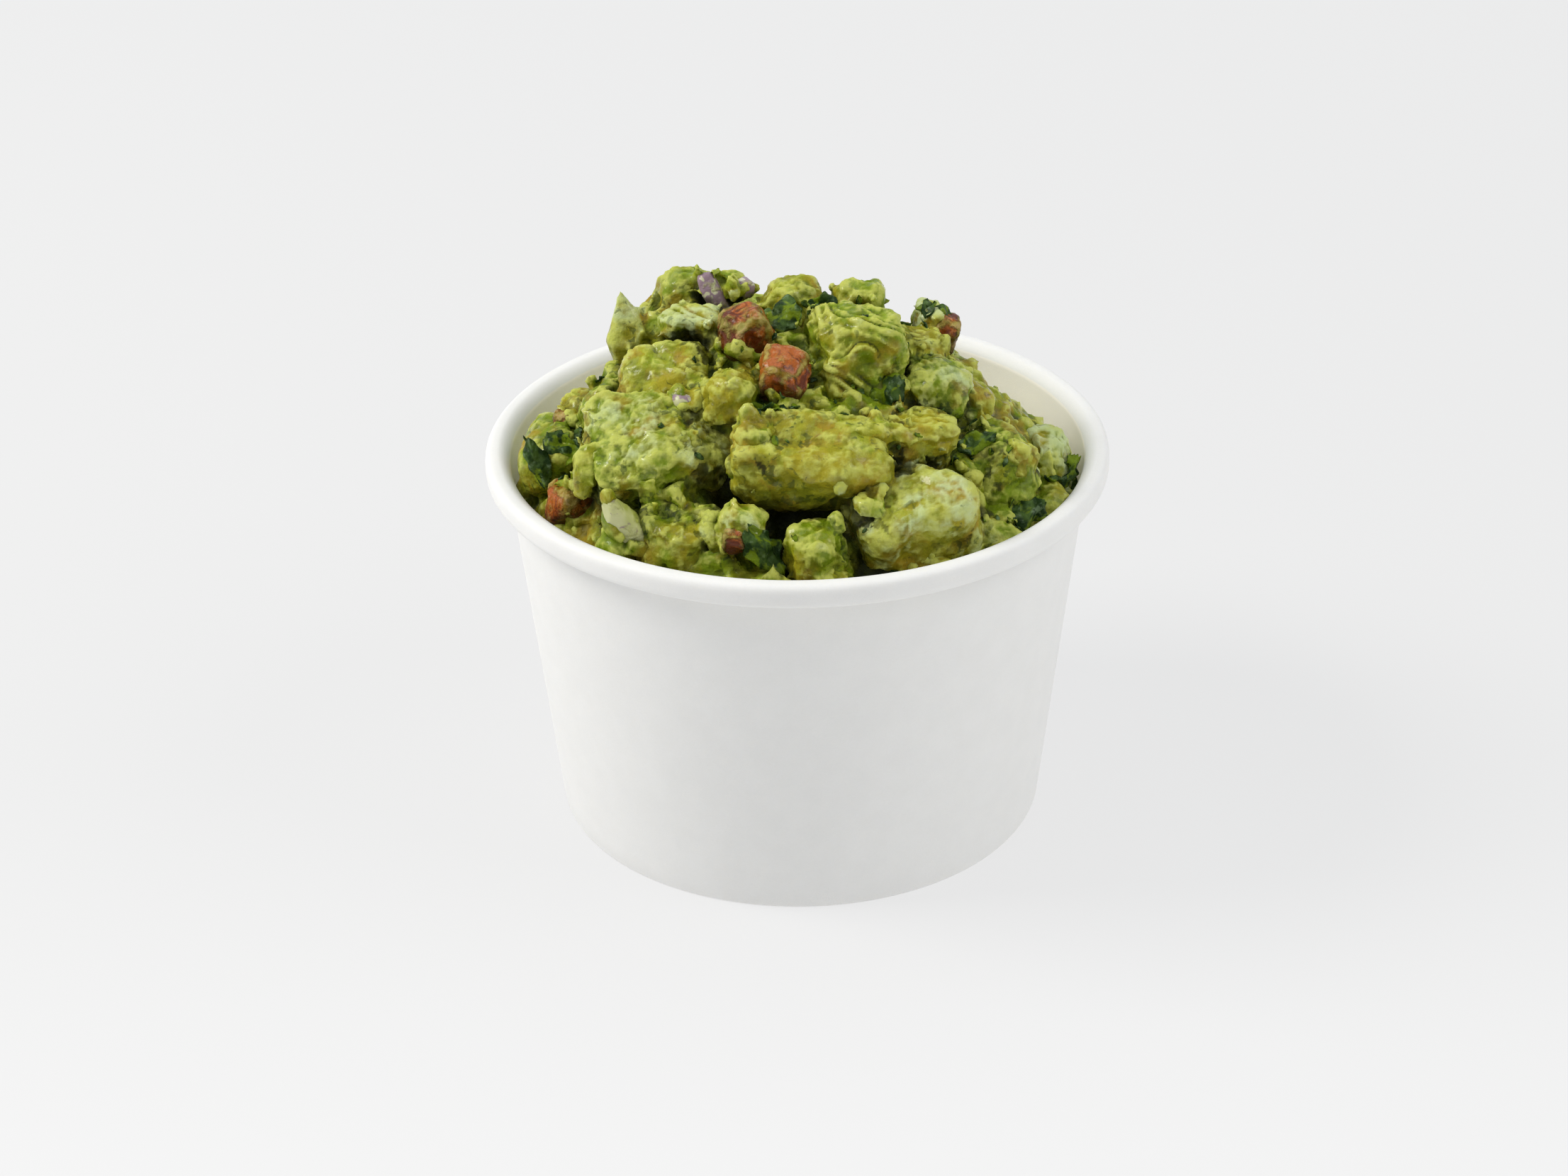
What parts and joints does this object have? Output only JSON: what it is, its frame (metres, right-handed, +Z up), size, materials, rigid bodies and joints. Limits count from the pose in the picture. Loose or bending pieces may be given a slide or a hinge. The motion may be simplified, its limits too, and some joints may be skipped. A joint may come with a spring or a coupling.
{
  "type": "guacamole in a paper food cup",
  "caption": "Chunky guacamole with tomato, red onion and coriander leaf, heaped above the rolled rim of a plain round paper food cup.",
  "frame": {"origin": "centre of the cup's foot ring, on the surface the cup stands on", "axes": "+Z up along the cup's axis; -Y towards the front of the heap, +X to the right of somebody facing that front"},
  "size_m": [0.0968, 0.0968, 0.0882],
  "materials": {
    "paper": "matte",
    "avocado": "satin"
  },
  "bodies": {
    "root": {"cup_wall": "paper", "cup_bottom": "paper", "guacamole": "avocado"}
  },
  "joints": []
}
